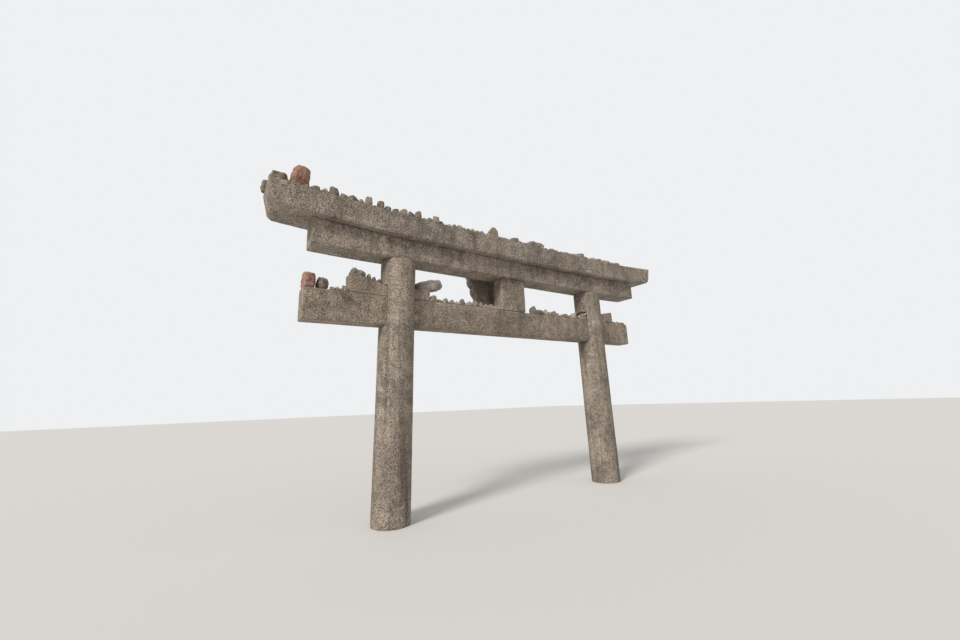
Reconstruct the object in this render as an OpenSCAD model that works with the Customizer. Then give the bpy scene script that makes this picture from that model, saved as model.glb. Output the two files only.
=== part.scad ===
// Stone torii gate on a beach, as the photograph shows it, with stones laid along its beams.
// X runs along the beams, Y goes to the far side with the tablet, Z is up. Sizes in mm.
// The origin is the middle of the left pillar's foot, and both pillars stand on the ground at Z 0.
// Modules are drawn about the gate's middle, and from_foot moves them to the origin.

/* [Pillars] */
// Distance between the two pillar axes, at the middle of the tie beam
pillar_spacing = 3000; // [2600:10:3400]
// Height of the pillars from the ground to the lower lintel
pillar_h = 2640; // [2500:10:3000]
// Pillar diameter at the ground
pillar_foot_d = 384; // [340:2:430]
// Pillar diameter under the lower lintel
pillar_top_d = 372; // [330:2:380]
// Inward lean of each pillar, in degrees
pillar_lean = 1.4; // [0:0.1:3]

/* [Tie beam] */
// Height of the tie beam's underside above the ground
tie_z = 1915; // [1800:5:2050]
// Height of the tie beam's section
tie_h = 310; // [240:5:320]
// Depth of the tie beam, front to back
tie_depth = 196; // [160:4:220]
// Reach of the tie beam past the left pillar's axis
tie_left = 960; // [800:10:1100]
// Reach of the tie beam past the right pillar's axis
tie_right = 750; // [700:10:1100]
// Width of the worn edges along the tie beam and the strut
arris = 9; // [3:1:14]
// Free play beside the tie beam in the pillars' mortises
mortise_play = 3; // [1:1:6]
// Headroom over the tie beam in the mortises, filled by the wedges
mortise_headroom = 120; // [90:2:160]

/* [Wedges] */
// How much higher the outer left wedge's thick end is than its mortise's headroom
wedge_ol_h = 96; // [18:1:110]
// How far the outer left wedge stands out of the pillar
wedge_ol_out = 345; // [250:1:420]
// Length of the cut-off corner at the outer left wedge's thick end
wedge_ol_bevel_l = 20; // [20:1:80]
// Height of the cut-off corner at the outer left wedge's thick end
wedge_ol_bevel_h = 20; // [20:1:90]
// How much higher the inner left wedge's thick end is than its mortise's headroom
wedge_il_h = 11; // [5:1:80]
// How far the inner left wedge stands out of the pillar
wedge_il_out = 160; // [120:1:260]
// How much higher the outer right wedge's thick end is than its mortise's headroom
wedge_or_h = 46; // [8:1:80]
// How far the outer right wedge stands out of the pillar
wedge_or_out = 244; // [200:1:420]
// Length of each wedge inside its mortise
wedge_in = 130; // [80:5:150]
// Worn corner at the thick ends of the two smaller wedges
wedge_wear = 10; // [4:1:20]
// How much narrower than the tie beam a wedge is, in all
wedge_set = 10; // [2:1:30]

/* [Lower lintel] */
// Height of the lower lintel's section at the gate's middle
lintel_h = 226; // [180:2:260]
// Depth of the lower lintel, front to back
lintel_depth = 284; // [240:4:340]
// Reach of the lower lintel past the pillar axes
lintel_reach = 910; // [800:5:1100]
// Distance past the pillar axes at which its underside starts to rise
lintel_straight = 200; // [100:10:500]
// Rise of its underside at the ends
lintel_rise = 12; // [5:1:60]

/* [Top lintel] */
// Height of the top lintel's section
top_h = 238; // [200:2:280]
// Depth of the top lintel, front to back
top_depth = 460; // [400:5:520]
// Reach of the top lintel's upper edge past the pillar axes
top_reach = 1320; // [1300:5:1600]
// How far the slanting end cut comes in from the upper to the lower edge
top_cut = 55; // [0:5:150]
// Distance from the gate's middle at which the top lintel starts to curve up
top_straight = 900; // [600:10:1400]
// Rise of its underside at the ends
top_rise = 74; // [60:1:200]
// Size of the small cut at the lower corner of each end
top_corner = 36; // [10:2:50]

/* [Tablet] */
// Width of the strut between tie beam and lower lintel
strut_w = 370; // [260:5:400]
// Distance of the strut's middle to the left of the gate's middle
strut_left = -30; // [-60:5:60]
// Height of the tablet's panel
panel_h = 560; // [480:10:640]
// Width of the panel at its foot
panel_foot_w = 520; // [480:10:640]
// Width of the panel at its head
panel_head_w = 640; // [560:10:720]
// Thickness of the panel
panel_t = 60; // [40:2:80]
// Outward lean of the tablet, in degrees
tablet_lean = 18; // [10:1:20]
// Width of the scalloped border around the panel
border_w = 100; // [70:5:120]
// Depth of the scalloped border, front to back
border_t = 110; // [80:5:140]
// How deep the scallops are cut into the border
scallop = 22; // [10:2:36]
// Height of the tablet's foot above the tie beam
tablet_foot = 60; // [45:5:80]
// Gap between the strut and the tablet's foot
tablet_gap = 14; // [8:1:30]
// Width of the block on the tablet's back that meets the strut
back_block_w = 250; // [150:10:260]

/* [Stones on the top lintel] */
// Distance of the end block from the left end of the lintel
end_block_in = 10; // [10:1:60]
// Length of the end block
end_block_l = 165; // [110:1:190]
// Height of the end block
end_block_h = 96; // [60:1:140]
// Space between the end block and the tall reddish boulder
boulder_gap = 10; // [6:1:60]
// Length of the boulder
boulder_l = 176; // [140:1:220]
// Height of the boulder
boulder_h = 232; // [160:1:260]
// Pointed rock: distance of its middle from the gate's middle
pointed_x = 290; // [240:1:320]
// Length of the pointed rock
pointed_l = 180; // [120:1:190]
// Height of the pointed rock
pointed_h = 175; // [100:1:180]
// Long flat rock: distance of its middle from the gate's middle
long_rock_x = 372; // [330:1:420]
// Length of the long flat rock
long_rock_l = 356; // [280:1:380]
// Height of the long flat rock
long_rock_h = 104; // [60:1:130]
// Distance of the large stones' middles behind the top lintel's front edge
big_y = 102; // [90:1:175]
// Depth of the large stones, front to back
big_d = 170; // [120:1:190]
// Distance of the row of small stones behind the top lintel's front edge
row_y = 54; // [45:1:175]
// How far the row of small stones wanders to either side
row_wander = 18; // [4:1:20]
// Length of the single cobbles in the row
cobble_l = 80; // [50:1:100]
// Height of the single cobbles in the row
cobble_h = 100; // [70:1:120]
// Length of the flat rocks in the right half of the row
flat_rock_l = 186; // [120:1:220]
// Height of the flat rocks in the right half of the row
flat_rock_h = 64; // [40:1:90]

/* [Stones on the tie beam] */
// Share of the room beside the outer left wedge that the large rock at the end takes
tie_rock_share = 0.3; // [0.2:0.01:0.45]
// Height of the large rock at the tie beam's left end
tie_rock_h = 168; // [120:1:190]
// Share of the same room that the block beside it takes
tie_block_share = 0.27; // [0.15:0.01:0.4]
// Height of the block beside it
tie_block_h = 130; // [90:1:150]
// Length of the slab on the inner left wedge
slab_l = 326; // [220:1:340]
// Thickness of the slab on the inner left wedge
slab_h = 134; // [60:1:150]
// Share of the outer left wedge's top that the slab leaning on it takes
leaning_share = 0.48; // [0.3:0.01:0.6]
// Thickness of the slab on the outer left wedge
leaning_h = 63; // [40:1:100]
// Height of the stones between that slab and the pillar
wedge_stone_h = 76; // [30:1:90]
// How much narrower than the tie beam the rocks on it are, in all
tie_rock_set = 36; // [10:2:60]
// Length of the rubble to the left of the strut
rubble_l = 335; // [200:5:420]
// Bare length of the tie beam to the right of the strut
bare_l = 110; // [20:5:300]
// Space between neighbouring large stones
stone_gap = 3; // [3:1:12]

/* [Pebbles] */
// Largest pebble in the rows
pebble_max = 88; // [50:1:100]
// Smallest pebble in the rows
pebble_min = 46; // [30:1:55]
// Distance of the pebbles behind the tie beam's front edge
tie_row_y = 46; // [45:1:90]
// How rough the stones are, as a share of their size
stone_rough = 0.24; // [0.05:0.01:0.3]
// Seed for the shapes of the stones
stone_seed = 7; // [1:1:99]

/* [Hidden] */
eps = 0.01;
// Bedding gap between stones that rest on each other
seat = 0.3;
half = pillar_spacing / 2;
tie_top = tie_z + tie_h;
tie_mid = tie_z + tie_h / 2;
// Ends of the beams, measured from the gate's middle
tie_left_x = half + tie_left;
tie_right_x = half + tie_right;
lintel_end = half + lintel_reach;
lintel_bend = half + lintel_straight;
top_end = half + top_reach;
lintel_z = pillar_h + seat;
top_z = lintel_z + lintel_h + seat;
// Radii of the curved undersides, and of the top lintel's upper surface
top_r = (pow(top_end - top_straight, 2) + pow(top_rise, 2)) / (2 * top_rise);
lintel_r = (pow(lintel_end - lintel_bend, 2) + pow(lintel_rise, 2)) / (2 * lintel_rise);
upper_r = top_r - top_h;
curve_steps = 24;
pillar_fn = 96;
// Large blocks used for cuts
far = 4000;

// Height of a curve over its straight stretch
function rise(x, straight, r) =
    abs(x) <= straight ? 0 : r - sqrt(r * r - pow(abs(x) - straight, 2));
// Height and slope of the top lintel's upper surface
function top_surface(x) = top_z + top_h + rise(x, top_straight, upper_r);
function top_slope(x) =
    abs(x) <= top_straight ? 0 : sign(x) * asin((abs(x) - top_straight) / upper_r);
// Gap that a flat bottom of length l leaves over the hollow curve under it
function bridge(x, l) = abs(x) + l / 2 <= top_straight ? 0 : l * l / (8 * upper_r);
// Points from left to right along a line at height z that curves up past its straight stretch
function curve(reach, straight, r, z) = [
    for (side = [-1, 1], i = [0 : curve_steps])
        let (
            share = side < 0 ? 1 - i / curve_steps : i / curve_steps,
            x = side * (straight + (reach - straight) * share)
        )
            [x, z + rise(x, straight, r)]
];
function backwards(points) = [for (i = [len(points) - 1 : -1 : 0]) points[i]];

// Axis and radius of a pillar at height z
function pillar_x(z) = half - tan(pillar_lean) * (z - tie_mid);
function pillar_r(z) = (pillar_foot_d + (pillar_top_d - pillar_foot_d) * z / pillar_h) / 2;
// Faces of a pillar at the top of its mortise, outward and inward of its axis
mortise_top = tie_top + mortise_headroom;
outer_face = pillar_x(mortise_top) + pillar_r(mortise_top);
inner_face = pillar_x(mortise_top) - pillar_r(mortise_top);
// Height of a wedge where it enters the pillar
wedge_face_h = mortise_headroom - 2 * seat;
// Slope of a wedge's top, which rises by h over its length outside the pillar
function wedge_slope(h, out) = (h + 2 * seat) / out;

// Moves a piece drawn about the gate's middle so that the left pillar's foot is the origin
module from_foot() {
    translate([pillar_x(0), 0, 0])
        children();
}

// Upright section in X and Z, drawn out to a depth along Y
module along_y(depth) {
    rotate([90, 0, 0])
        linear_extrude(height = depth, center = true)
            children();
}

// Rectangle about the origin with its corners worn off
module worn_rect(w, h, wear) {
    polygon([
        [-w / 2 + wear, -h / 2], [w / 2 - wear, -h / 2],
        [w / 2, -h / 2 + wear], [w / 2, h / 2 - wear],
        [w / 2 - wear, h / 2], [-w / 2 + wear, h / 2],
        [-w / 2, h / 2 - wear], [-w / 2, -h / 2 + wear]
    ]);
}

// Pillar on the side given, with a mortise for the tie beam and its wedges
module pillar(side) {
    slant = (pillar_foot_d - pillar_top_d) / pillar_h;
    over = 60;
    difference() {
        intersection() {
            translate([side * half, 0, tie_mid])
                rotate([0, -side * pillar_lean, 0])
                    translate([0, 0, -tie_mid - over])
                        cylinder(
                            h = pillar_h + 2 * over,
                            d1 = pillar_foot_d + slant * over,
                            d2 = pillar_top_d - slant * over,
                            $fn = pillar_fn
                        );
            translate([side * half - far / 2, -far / 2, 0])
                cube([far, far, pillar_h]);
        }
        translate([side * half - far / 2, -tie_depth / 2 - mortise_play, tie_z - seat])
            cube([far, tie_depth + 2 * mortise_play, mortise_top - tie_z + seat]);
    }
}

module left_pillar() {
    color("dimgray") from_foot()
        pillar(-1);
}

module right_pillar() {
    color("dimgray") from_foot()
        pillar(1);
}

// Tie beam that passes through both pillars
module tie_beam() {
    color("gray") from_foot()
        translate([-tie_left_x, 0, tie_mid])
            rotate([90, 0, 90])
                linear_extrude(height = tie_left_x + tie_right_x)
                    worn_rect(tie_depth, tie_h, arris);
}

// Wedge that lies on the tie beam, drawn for a thick end towards +X
// face: X of the pillar's surface, out: length outside it, h: rise to its thick end
module wedge(face, out, h, bevel_l, bevel_h) {
    base = tie_top + seat;
    slope = wedge_slope(h, out);
    high = base + mortise_headroom + h;
    along_y(tie_depth - wedge_set)
        polygon([
            [face - wedge_in, base],
            [face + out, base],
            [face + out, high - bevel_h],
            [face + out - bevel_l, high - slope * bevel_l],
            [face - wedge_in, high - slope * (out + wedge_in)]
        ]);
}

module outer_left_wedge() {
    color("rosybrown") from_foot()
        mirror([1, 0, 0])
            wedge(outer_face, wedge_ol_out, wedge_ol_h, wedge_ol_bevel_l, wedge_ol_bevel_h);
}

module inner_left_wedge() {
    color("rosybrown") from_foot()
        translate([-2 * inner_face, 0, 0])
            wedge(inner_face, wedge_il_out, wedge_il_h, wedge_wear / 2, wedge_wear);
}

module outer_right_wedge() {
    color("rosybrown") from_foot()
        wedge(outer_face, wedge_or_out, wedge_or_h, wedge_wear / 2, wedge_wear);
}

// Lower lintel: its underside turns up outside the pillars, its top follows the top lintel
module lower_lintel() {
    color("slategray") from_foot()
        along_y(lintel_depth)
            polygon(concat(
                curve(lintel_end, lintel_bend, lintel_r, lintel_z),
                backwards(curve(lintel_end, top_straight, top_r, top_z - seat))
            ));
}

// Top lintel: a slab that curves up towards both ends, which are cut at a slant
module top_lintel() {
    under_end = top_end - top_cut - top_corner;
    corner_x = top_end - top_cut * (top_h - top_corner) / top_h;
    corner_z = top_z + rise(corner_x, top_straight, top_r) + top_corner;
    color("slategray") from_foot()
        along_y(top_depth)
            polygon(concat(
                curve(under_end, top_straight, top_r, top_z),
                [[corner_x, corner_z]],
                backwards(curve(top_end, top_straight, upper_r, top_z + top_h)),
                [[-corner_x, corner_z]]
            ));
}

// Strut that stands on the tie beam and carries the lower lintel at mid span
module strut() {
    color("gray") from_foot()
        translate([-strut_left, 0, tie_top + seat])
            linear_extrude(height = pillar_h - tie_top - seat)
                worn_rect(strut_w, tie_depth, arris);
}

// Foot of the tablet's panel: its height, and its distance behind the beams' middle line
// It stands off so far that the leaning tablet clears the tie beam and both lintels
foot_z = tie_top + tablet_foot;
function behind(depth, z) = depth / 2 - (z - foot_z) * tan(tablet_lean);
foot_y = tablet_gap + max(
    behind(tie_depth, foot_z) + border_w * sin(tablet_lean),
    behind(lintel_depth, lintel_z),
    behind(top_depth, top_z)
);

// Frame of the tablet: origin at the foot of its near face, leaning out at the head
module tablet_place() {
    translate([-strut_left, foot_y, foot_z])
        rotate([-tablet_lean, 0, 0])
            children();
}

// Outline of the tablet's panel, grown by a margin
module tablet_outline(margin) {
    grow = (panel_head_w - panel_foot_w) / 2 / panel_h;
    foot = panel_foot_w / 2 + margin - grow * margin;
    head = panel_head_w / 2 + margin + grow * margin;
    polygon([
        [-foot, -margin],
        [foot, -margin],
        [head, panel_h + margin],
        [-head, panel_h + margin]
    ]);
}

// Smooth panel with a block on its back that meets the strut
module tablet_panel() {
    near = tie_depth / 2 + seat;
    high = min(pillar_h - tablet_gap, foot_z + panel_h / 2);
    inside = foot_y + panel_t / 2;
    color("darkgray") from_foot() {
        tablet_place()
            translate([0, panel_t, 0])
                rotate([90, 0, 0])
                    linear_extrude(height = panel_t)
                        tablet_outline(0);
        translate([-strut_left - back_block_w / 2, 0, 0])
            rotate([90, 0, 90])
                linear_extrude(height = back_block_w)
                    polygon([
                        [near, foot_z + tablet_gap],
                        [inside, foot_z + tablet_gap],
                        [inside + (high - foot_z) * tan(tablet_lean), high],
                        [near, high]
                    ]);
    }
}

// Ellipse with its middle at a point, of half widths across and along
module lobe(middle, across, along) {
    steps = 36;
    translate(middle)
        polygon([
            for (i = [0 : steps - 1])
                [across * cos(i * 360 / steps), along * sin(i * 360 / steps)]
        ]);
}

// Border around the panel, its outer edge in broad scallops that meet
module tablet_border() {
    inset = border_w - scallop;
    grow = (panel_head_w - panel_foot_w) / 2 / panel_h;
    foot = panel_foot_w / 2 + inset - grow * inset;
    head = panel_head_w / 2 + inset + grow * inset;
    low = -inset;
    high = panel_h + inset;
    lobes = 5;
    overlap = 1.9;
    // Half length of each of the lobes that fill an edge, and their depth
    share = 2 + overlap * (lobes - 1);
    side_l = (high - low + 2 * scallop) / share;
    foot_l = 2 * (foot + scallop) / share;
    head_l = 2 * (head + scallop) / share;
    deep = 2.5 * scallop;
    color("silver") from_foot()
        tablet_place()
            translate([0, border_t + tablet_gap, 0])
                rotate([90, 0, 0])
                    linear_extrude(height = border_t)
                        difference() {
                            union() {
                                tablet_outline(inset);
                                for (i = [0 : lobes - 1])
                                    let (
                                        along = i / (lobes - 1),
                                        z = low - scallop + side_l
                                            + along * (high - low + 2 * (scallop - side_l)),
                                        x = foot + (head - foot) * (z - low) / (high - low)
                                            + scallop - deep,
                                        foot_x = (2 * along - 1) * (foot + scallop - foot_l),
                                        head_x = (2 * along - 1) * (head + scallop - head_l)
                                    ) {
                                        lobe([-x, z], deep, side_l);
                                        lobe([x, z], deep, side_l);
                                        lobe([foot_x, low - scallop + deep], foot_l, deep);
                                        lobe([head_x, high + scallop - deep], head_l, deep);
                                    }
                            }
                            tablet_outline(seat);
                        }
}

// Broken stone with a flat bottom, l along X, d along Y, h high
// block: 0 for a rounded plan, 1 for a squarish one, crown: width of its top against its middle
// peak: how far its top is shifted along X, tip: how much its top slopes up along X
module rock(l, d, h, seed, block = 0.3, crown = 0.6, rings = 4, segs = 9, peak = 0, tip = 0) {
    power = 2 + 3 * block;
    foot = 0.84;
    widest = 0.4;
    noise = rands(0, 1, (rings + 2) * segs, seed + 100 * stone_seed);
    turn = rands(0, 360, 1, seed + 50)[0];
    raw = [
        for (i = [0 : rings - 1], j = [0 : segs - 1])
            let (
                a = (j + 0.5 * noise[j]) * 360 / segs + turn,
                t = i / (rings - 1),
                belly = t < widest
                    ? foot + (1 - foot) * sin(90 * t / widest)
                    : 1 - (1 - crown) * pow((t - widest) / (1 - widest), 2),
                plan = 1 / pow(pow(abs(cos(a)), power) + pow(abs(sin(a)), power), 1 / power),
                dent = 1 - stone_rough * (noise[segs + j] + noise[(i + 2) * segs + j]) / 2,
                x = plan * cos(a) * belly * dent,
                sunk = i == 0 ? 0 : 0.14 * noise[(i + 1) * segs + j] / (rings - 1)
            )
                [
                    x + peak * t * t,
                    plan * sin(a) * belly * dent,
                    t * (0.93 - abs(tip) / 2 + tip * x / 2) - sunk
                ],
        [peak, 0, 1 - abs(tip) / 2]
    ];
    xs = [for (p = raw) p[0]];
    ys = [for (p = raw) p[1]];
    zs = [for (p = raw) p[2]];
    points = [
        for (p = raw)
            [
                l * ((p[0] - min(xs)) / (max(xs) - min(xs)) - 0.5),
                d * ((p[1] - min(ys)) / (max(ys) - min(ys)) - 0.5),
                h * p[2] / max(zs)
            ]
    ];
    last = rings * segs;
    faces = [
        [for (j = [0 : segs - 1]) j],
        for (i = [0 : rings - 2], j = [0 : segs - 1])
            [i * segs + j, (i + 1) * segs + j, i * segs + (j + 1) % segs],
        for (i = [0 : rings - 2], j = [0 : segs - 1])
            [i * segs + (j + 1) % segs, (i + 1) * segs + j, (i + 1) * segs + (j + 1) % segs],
        for (j = [0 : segs - 1])
            [(rings - 1) * segs + j, last, (rings - 1) * segs + (j + 1) % segs]
    ];
    polyhedron(points = points, faces = faces, convexity = 4);
}

// Sets a stone of length l on the top lintel, y behind its front edge
module on_top(x, y, l) {
    translate([x, y - top_depth / 2, top_surface(x) + bridge(x, l) + seat])
        rotate([0, -top_slope(x), 0])
            children();
}

// Sets a stone on the tie beam, y behind its front edge
module on_tie(x, y) {
    translate([x, y - tie_depth / 2, tie_top + seat])
        children();
}

// Pebble of a given length and seed, none deeper or higher than the largest
module pebble(size, seed) {
    squash = rands(0.65, 1.05, 2, seed);
    shape = rands(0, 1, 3, seed + 7);
    rock(
        size, min(size * squash[0], pebble_max), min(size * squash[1], pebble_max), seed,
        0.1 + 0.8 * shape[0], 0.55 + 0.4 * shape[1], 3, 7, 0, 0.7 * (shape[2] - 0.5)
    );
}

// Middles of the large stones on the top lintel
end_block_x = -top_end + end_block_in + end_block_l / 2;
boulder_x = end_block_x + end_block_l / 2 + boulder_gap + boulder_l / 2;
// Cobbles in the row: place as a share of the lintel's reach, length and height against the
// named ones, slope of the top
cobbles = [
    [-0.7925, 1.28, 0.98, -0.3], [-0.67, 0.94, 1.12, 0.2], [-0.624, 0.94, 1, -0.1],
    [-0.4715, 0.9, 0.98, 0.1], [-0.395, 1, 0.98, -0.2], [0.009, 1.65, 0.74, 0.15]
];
// Cobble behind the end block, which reaches a little past the lintel's end
corner_share = -0.9885;
corner_behind = 0.78 * top_depth;
// Flat rocks: one by itself, then two side by side
flat_x = 0.432 * top_end;
flat_pair_x = 0.575 * top_end;
flat_rocks = [
    [flat_x, 1.02, 1.25], [flat_pair_x, 0.97, 0.9],
    [flat_pair_x + 0.985 * flat_rock_l + stone_gap, 1, 0.85]
];
// Middles and lengths of all the stones that stand out of the row, from left to right
taken = concat(
    [[boulder_x, boulder_l]],
    [for (t = cobbles) if (t[0] < 0) [t[0] * top_end, t[1] * cobble_l]],
    [[-pointed_x, pointed_l]],
    [for (t = cobbles) if (t[0] > 0) [t[0] * top_end, t[1] * cobble_l]],
    [[long_rock_x, long_rock_l]],
    [for (t = flat_rocks) [t[0], t[1] * flat_rock_l]],
    [[0.74 * top_end, 0]]
);
// Size of the pebbles between them, against the usual one
shares = [1.5, 1.3, 1, 1.2, 1, 0.85, 0.8, 0.6, 0.5, 0.8, 1, 0.7];
// Stretches of the row that are free between them
free = [
    for (i = [0 : len(taken) - 2])
        [
            taken[i][0] + taken[i][1] / 2 + stone_gap / 2,
            taken[i + 1][0] - taken[i + 1][1] / 2 - stone_gap / 2
        ]
];

// Sum of the first n values of a list
function sum(list, n) = n == 0 ? 0 : sum(list, n - 1) + list[n - 1];
// Pebbles side by side from x0 to x1, as middles and sizes that fill the length
function row(x0, x1, share, seed) =
    let (
        mean = (pebble_min + pebble_max) / 2 * share + stone_gap / 2,
        count = max(1, round((x1 - x0) / mean)),
        sizes = rands(pebble_min, pebble_max, count, seed),
        scale = (x1 - x0) / sum(sizes, count)
    )
        [for (i = [0 : count - 1])
            [x0 + (sum(sizes, i) + sizes[i] / 2) * scale, sizes[i] * scale - stone_gap]];

// Pebbles in those free stretches of the row that have their middles between x0 and x1
module top_row(x0, x1, seed) {
    for (k = [0 : len(free) - 1])
        let (a = free[k][0], b = free[k][1])
            if (b - a > pebble_min && a + b >= 2 * x0 && a + b < 2 * x1)
                let (
                    stones = row(a, b, shares[k], seed + 20 * k),
                    offsets = rands(-row_wander, row_wander, len(stones), seed + 20 * k + 1)
                )
                    for (i = [0 : len(stones) - 1])
                        on_top(stones[i][0], row_y + offsets[i], stones[i][1])
                            pebble(stones[i][1], seed + 30 * k + i);
}

module end_block() {
    color("tan") from_foot()
        on_top(end_block_x, big_y, end_block_l)
            rock(end_block_l, big_d, end_block_h, 1, 1, 0.96, 4, 10, 0, 0.16);
}

module red_boulder() {
    color("indianred") from_foot()
        on_top(boulder_x, big_y, boulder_l)
            rock(boulder_l, big_d, boulder_h, 2, 1, 0.84, 6, 10, 0.03, 0.06);
}

module pointed_rock() {
    color("tan") from_foot()
        on_top(-pointed_x, big_y, pointed_l)
            rock(pointed_l, big_d * 0.8, pointed_h, 5, 0.5, 0.36, 5, 9, -0.16);
}

module long_flat_rock() {
    color("tan") from_foot()
        on_top(long_rock_x, big_y, long_rock_l)
            rock(long_rock_l, big_d, long_rock_h, 6, 0.5, 0.66, 4, 13, 0.05);
}

module right_flat_rocks() {
    color("tan") from_foot()
        for (k = [0 : len(flat_rocks) - 1])
            let (t = flat_rocks[k])
                on_top(t[0], row_y + row_wander, t[1] * flat_rock_l)
                    rock(t[1] * flat_rock_l, big_d * 0.65, flat_rock_h * t[2], 20 + k,
                        0.6, 0.8, 3, 10, 0, 0.3 - 0.2 * k);
}

// Single cobbles that stand out of the row of pebbles, and the one behind the end block
module top_cobbles() {
    color("tan") from_foot() {
        for (k = [0 : len(cobbles) - 1])
            let (t = cobbles[k])
                on_top(t[0] * top_end, row_y, t[1] * cobble_l)
                    rock(t[1] * cobble_l, pebble_max, cobble_h * t[2], 30 + k, 0.7, 0.85, 4, 8,
                        0, t[3]);
        on_top(corner_share * top_end, corner_behind, 1.7 * cobble_l)
            rock(1.7 * cobble_l, 1.3 * cobble_l, 1.25 * cobble_h, 37, 0.9, 0.9, 4, 9);
    }
}

module top_pebbles_far_left() {
    color("darkkhaki") from_foot()
        top_row(-top_end, -0.52 * top_end, 200);
}

module top_pebbles_left() {
    color("darkkhaki") from_foot()
        top_row(-0.52 * top_end, -pointed_x, 300);
}

module top_pebbles_middle() {
    color("darkkhaki") from_foot()
        top_row(-pointed_x, 0.36 * top_end, 400);
}

module top_pebbles_right() {
    color("darkkhaki") from_foot()
        top_row(0.36 * top_end, top_end, 500);
}

// Room on the tie beam between its left end and the outer left wedge
stub_room = tie_left_x - outer_face - wedge_ol_out;
tie_rock_l = tie_rock_share * stub_room;
tie_block_l = tie_block_share * stub_room;
tie_rock_d = tie_depth - tie_rock_set;
// Space between a pillar and a stone that leans on the slope of its wedge
lean_gap = 5 * stone_gap;

// Large reddish rock at the left end of the tie beam
module tie_end_rock() {
    color("indianred") from_foot()
        on_tie(-tie_left_x + tie_rock_l / 2, tie_depth / 2)
            rock(tie_rock_l - stone_gap, tie_rock_d, tie_rock_h, 40, 0.7, 0.84, 5, 10);
}

module tie_block() {
    color("tan") from_foot()
        on_tie(-tie_left_x + tie_rock_l + tie_block_l / 2, tie_depth / 2)
            rock(tie_block_l - stone_gap, tie_rock_d, tie_block_h, 41, 0.9, 0.9, 4, 9, 0, -0.15);
}

// Sets a stone on a left wedge: s from the pillar's face along X, side -1 outside, 1 inside
module on_wedge(side, s, h, out) {
    face = side < 0 ? -outer_face : -inner_face;
    tilt = atan(wedge_slope(h, out));
    translate([face + side * s, 0, tie_top + wedge_face_h + 2 * seat + s * tan(tilt)])
        rotate([0, -side * tilt, 0])
            translate([0, 0, seat])
                children();
}

// Slab on the inner left wedge: it lies flat on the wedge, then rises clear of it past its end
module wedge_slab() {
    side = [[0, 0], [0.46, 0], [1, 0.28], [0.985, 0.95], [0.72, 1], [0.3, 0.9], [0, 0.59]];
    plan = [
        [0, -0.3], [0.1, -0.5], [0.86, -0.5], [1, -0.28],
        [1, 0.2], [0.82, 0.5], [0.14, 0.5], [0, 0.26]
    ];
    color("tan") from_foot()
        on_wedge(1, lean_gap, wedge_il_h, wedge_il_out)
            intersection() {
                along_y(tie_rock_d)
                    polygon([for (p = side) [p[0] * slab_l, p[1] * slab_h]]);
                linear_extrude(height = slab_h)
                    polygon([for (p = plan) [p[0] * slab_l, p[1] * tie_rock_d]]);
            }
}

// Slab that leans on the outer left wedge's slope, its end a little over the cut-off corner
wedge_top_l = wedge_ol_out - wedge_ol_bevel_l / 2;
leaning_l = leaning_share * wedge_top_l;
module leaning_slab() {
    color("tan") from_foot()
        on_wedge(-1, wedge_top_l - leaning_l / 2, wedge_ol_h, wedge_ol_out)
            rock(leaning_l - stone_gap, tie_rock_d, leaning_h, 43, 1, 1, 3, 10, 0, -0.08);
}

// Stones between the leaning slab and the pillar
module left_wedge_stones() {
    count = 3;
    space = (wedge_top_l - leaning_l - lean_gap) / count;
    color("darkkhaki") from_foot()
        for (k = [0 : count - 1])
            on_wedge(-1, lean_gap + space * (k + 0.5), wedge_ol_h, wedge_ol_out)
                rock(space - stone_gap, tie_rock_d / 2, wedge_stone_h * (0.8 + 0.1 * k), 50 + k,
                    0.6, 0.8, 3, 8);
}

// Pebbles along the tie beam from x0 to x1, their size a share of the usual one
module tie_row(x0, x1, share, seed) {
    stones = row(x0, x1, share, seed);
    offsets = rands(-row_wander / 2, row_wander / 2, len(stones), seed + 1);
    for (i = [0 : len(stones) - 1])
        on_tie(stones[i][0], tie_row_y + offsets[i])
            pebble(stones[i][1], seed + 10 + i);
}

module stub_pebbles_left() {
    color("darkkhaki") from_foot()
        tie_row(-tie_left_x + tie_rock_l + tie_block_l, -outer_face - wedge_ol_out - stone_gap, 1, 600);
}

module stub_pebbles_right() {
    color("darkkhaki") from_foot()
        tie_row(outer_face + wedge_or_out + stone_gap, tie_right_x - stone_gap, 0.55, 610);
}

module tie_pebbles_left() {
    color("darkkhaki") from_foot()
        tie_row(
            -inner_face + wedge_il_out + stone_gap,
            -strut_left - strut_w / 2 - rubble_l,
            1.2, 620
        );
}

// Rubble at the tablet's foot, on the near side of its left edge
module tablet_rubble() {
    strut_face = -strut_left - strut_w / 2;
    color("darkkhaki") from_foot()
        tie_row(strut_face - rubble_l, strut_face - stone_gap, 1, 640);
}

// Pebbles to the right of the strut, led by a pointed cobble
module tie_pebbles_right() {
    start = -strut_left + strut_w / 2 + bare_l;
    color("darkkhaki") from_foot() {
        on_tie(start + cobble_l * 0.75, tie_row_y)
            rock(cobble_l * 1.5, pebble_max, cobble_h * 1.1, 661, 0.4, 0.3, 4, 8, -0.1);
        tie_row(start + cobble_l * 1.5 + stone_gap, inner_face - stone_gap, 1.1, 660);
    }
}
left_pillar();
right_pillar();
tie_beam();
outer_left_wedge();
inner_left_wedge();
outer_right_wedge();
lower_lintel();
top_lintel();
strut();
tablet_panel();
tablet_border();
end_block();
red_boulder();
pointed_rock();
long_flat_rock();
right_flat_rocks();
top_cobbles();
top_pebbles_far_left();
top_pebbles_left();
top_pebbles_middle();
top_pebbles_right();
tie_end_rock();
tie_block();
wedge_slab();
leaning_slab();
left_wedge_stones();
stub_pebbles_left();
stub_pebbles_right();
tie_pebbles_left();
tablet_rubble();
tie_pebbles_right();
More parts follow.
